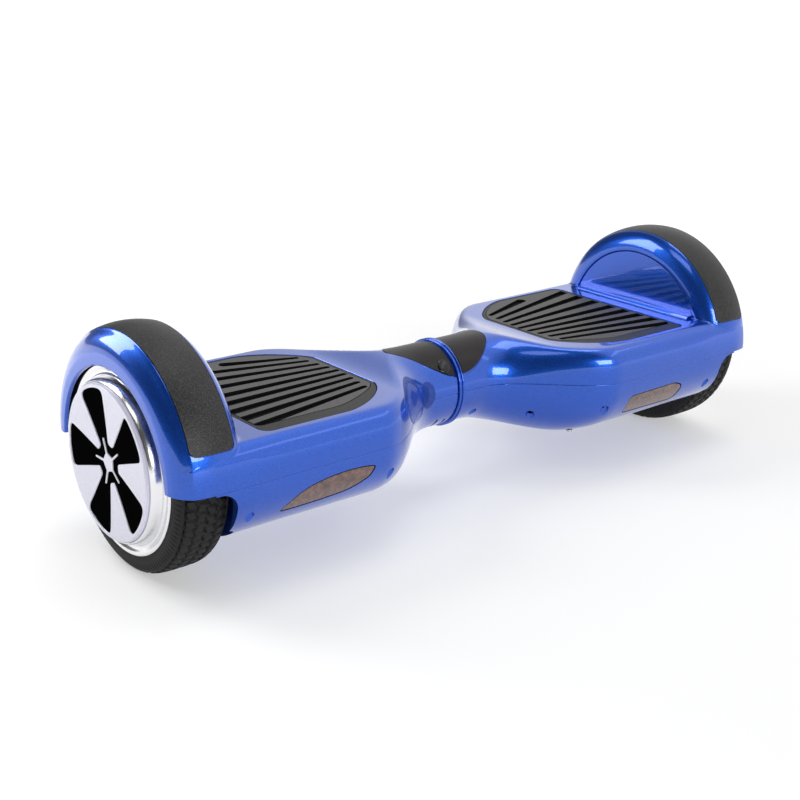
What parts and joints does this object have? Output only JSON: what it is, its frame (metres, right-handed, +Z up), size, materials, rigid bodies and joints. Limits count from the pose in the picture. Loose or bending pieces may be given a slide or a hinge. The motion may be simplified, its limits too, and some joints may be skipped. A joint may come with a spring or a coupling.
{
  "type": "self balancing hoverboard",
  "caption": "Two-wheeled self balancing board: two foot platforms twisting on a central pivot, a hub motor wheel under a rounded fender at each end.",
  "frame": {"origin": "on the ground, under the middle of the board", "axes": "+Z up, X along the wheel axles and the pivot, -Y towards the front with the lights"},
  "size_m": [0.584, 0.1892, 0.1763],
  "materials": {
    "body_paint": "glossy metallic blue lacquer over moulded plastic",
    "cast_frame": "as-cast, satin",
    "strip_rubber": "speckled dark grey soft rubber",
    "mat_rubber": "ribbed grey rubber, dark grooves",
    "black_rubber": "matt black",
    "smoked_lens": "smoked translucent brown",
    "circuit_board": "green solder mask",
    "black_gloss": "piano black",
    "steel": "machined",
    "motor_core": "stacked laminations and magnets",
    "chrome_rim": "polished, mirror bright",
    "cap_white": "pearl white with black openings",
    "tyre_rubber": "black rubber, moulded tread",
    "bronze": "sintered",
    "battery_wrap": "shrink wrap",
    "black_plastic": "moulded black"
  },
  "bodies": {
    "left_half": {"upper_shell_left": "body_paint", "lower_shell_left": "body_paint", "chassis_left": "cast_frame", "bumper_strip_left": "strip_rubber", "light_lens_left": "smoked_lens", "light_board_left": "circuit_board", "sensor_board_left": "circuit_board", "display_panel_left": "black_gloss", "wheel_axle_left": "steel", "stator_left": "motor_core", "axle_clamp_left": "cast_frame", "clamp_screw_front_left": "steel", "clamp_screw_rear_left": "steel", "motor_cable_left": "black_plastic", "battery_pack": "battery_wrap", "pivot_shaft": "steel", "pivot_retaining_ring": "steel", "collar_ring": "body_paint"},
    "right_half": {"upper_shell_right": "body_paint", "lower_shell_right": "body_paint", "chassis_right": "cast_frame", "bumper_strip_right": "strip_rubber", "light_lens_right": "smoked_lens", "light_board_right": "circuit_board", "sensor_board_right": "circuit_board", "display_panel_right": "black_gloss", "wheel_axle_right": "steel", "stator_right": "motor_core", "axle_clamp_right": "cast_frame", "clamp_screw_front_right": "steel", "clamp_screw_rear_right": "steel", "motor_cable_right": "black_plastic", "main_board": "circuit_board", "centre_harness": "black_plastic", "pivot_bush_inner": "bronze", "pivot_bush_outer": "bronze", "charge_socket": "black_plastic", "power_switch": "black_plastic"},
    "left_wheel": {"tyre_left": "tyre_rubber", "hub_rim_left": "chrome_rim", "hub_cap_left": "cap_white", "motor_cover_left": "cast_frame", "magnet_ring_left": "motor_core", "bearing_inner_left": "steel", "bearing_outer_left": "steel"},
    "right_wheel": {"tyre_right": "tyre_rubber", "hub_rim_right": "chrome_rim", "hub_cap_right": "cap_white", "motor_cover_right": "cast_frame", "magnet_ring_right": "motor_core", "bearing_inner_right": "steel", "bearing_outer_right": "steel"},
    "left_mat": {"foot_mat_left": "mat_rubber", "mat_plunger_front_left": "black_rubber", "mat_plunger_rear_left": "black_rubber"},
    "right_mat": {"foot_mat_right": "mat_rubber", "mat_plunger_front_right": "black_rubber", "mat_plunger_rear_right": "black_rubber"},
    "power_button": {"power_button": "black_plastic"},
    "charge_cap": {"charge_cap": "black_rubber"}
  },
  "joints": [
    {"name": "twist_pivot", "type": "hinge", "parent": "left_half", "child": "right_half", "pos_m": [0, 0, 0.0825], "axis": [1, 0, 0], "range_deg": [-15, 15]},
    {"name": "left_wheel_spin", "type": "hinge", "parent": "left_half", "child": "left_wheel", "pos_m": [-0.2611, 0, 0.0825], "axis": [1, 0, 0], "continuous": true},
    {"name": "right_wheel_spin", "type": "hinge", "parent": "right_half", "child": "right_wheel", "pos_m": [0.2611, 0, 0.0825], "axis": [1, 0, 0], "continuous": true},
    {"name": "left_mat_press", "type": "slide", "parent": "left_half", "child": "left_mat", "axis": [0, 0, -1], "range_m": [0, 0.0015], "stiffness_N_per_m": 8000, "springref_m": -0.001},
    {"name": "right_mat_press", "type": "slide", "parent": "right_half", "child": "right_mat", "axis": [0, 0, -1], "range_m": [0, 0.0015], "stiffness_N_per_m": 8000, "springref_m": -0.001},
    {"name": "power_button_press", "type": "slide", "parent": "right_half", "child": "power_button", "axis": [0, -0.9188, 0.3947], "range_m": [0, 0.001], "stiffness_N_per_m": 1500, "springref_m": -0.001},
    {"name": "charge_cap_hinge", "type": "hinge", "parent": "right_half", "child": "charge_cap", "pos_m": [0.125, 0.09393, 0.06943], "axis": [1, 0, 0], "range_deg": [0, 120]}
  ]
}
